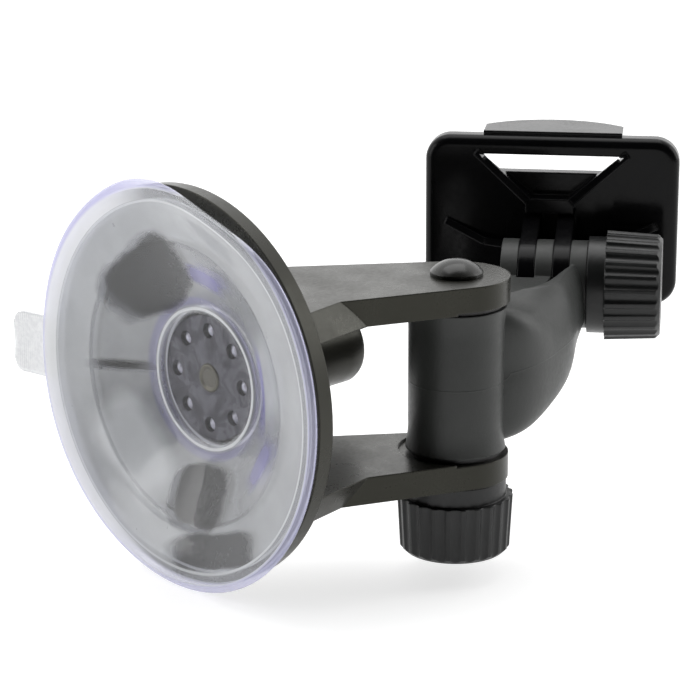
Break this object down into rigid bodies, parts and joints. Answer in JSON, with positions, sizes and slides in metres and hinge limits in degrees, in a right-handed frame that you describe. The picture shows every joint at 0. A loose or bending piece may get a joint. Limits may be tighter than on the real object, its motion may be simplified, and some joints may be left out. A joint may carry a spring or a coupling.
{
  "type": "dash camera windscreen mount",
  "caption": "Suction-cup windscreen mount for a dash camera: clear cup on a forked base, swinging elbow with clamp knobs and a tilting camera plate.",
  "frame": {"origin": "centre of the suction cup's sealing rim, in the plane that meets the glass", "axes": "-X out of the cup towards the glass, +Z along the swing axis between the fork's arms"},
  "size_m": [0.104, 0.079, 0.0694],
  "materials": {
    "clear_pvc": "clear soft vinyl, glossy",
    "frosted_pvc": "frosted soft vinyl",
    "smoked_plastic": "smoked plastic",
    "zinc_steel": "zinc plated",
    "satin_abs": "satin moulded ABS",
    "elbow_abs": "fine matt moulded ABS",
    "nylon": "black nylon",
    "black_steel": "black oxide, semi gloss",
    "knob_abs": "satin moulded ABS",
    "brass": "plain",
    "gloss_abs": "polished moulded ABS"
  },
  "bodies": {
    "base": {"suction_cup": "clear_pvc", "pull_tab": "frosted_pvc", "cup_insert_plate": "smoked_plastic", "cup_stud": "zinc_steel", "stud_washer": "zinc_steel", "stud_nut": "zinc_steel", "base_housing": "satin_abs", "upper_friction_washer": "nylon", "lower_friction_washer": "nylon", "pivot_bolt": "black_steel"},
    "swing_knob": {"swing_knob": "knob_abs", "swing_knob_nut": "brass", "swing_lock_washer": "zinc_steel"},
    "elbow": {"elbow_arm": "elbow_abs", "tilt_bolt": "black_steel"},
    "tilt_knob": {"tilt_knob": "knob_abs", "tilt_knob_nut": "brass", "tilt_lock_washer": "zinc_steel"},
    "plate": {"camera_plate": "gloss_abs"}
  },
  "joints": [
    {"name": "swing", "type": "hinge", "parent": "base", "child": "elbow", "pos_m": [0.0393, -0.0279, 0], "axis": [0, 0, 1], "range_deg": [-90, 50]},
    {"name": "tilt", "type": "hinge", "parent": "elbow", "child": "plate", "pos_m": [0.07685, -0.01424, 0.0065], "axis": [0.6157, -0.788, 0], "range_deg": [-35, 60]},
    {"name": "swing_knob_turn", "type": "hinge", "parent": "base", "child": "swing_knob", "pos_m": [0.0393, -0.0279, -0.025], "axis": [0, 0, 1], "continuous": true},
    {"name": "tilt_knob_turn", "type": "hinge", "parent": "elbow", "child": "tilt_knob", "pos_m": [0.08454, -0.02409, 0.0065], "axis": [0.6157, -0.788, 0], "continuous": true}
  ]
}
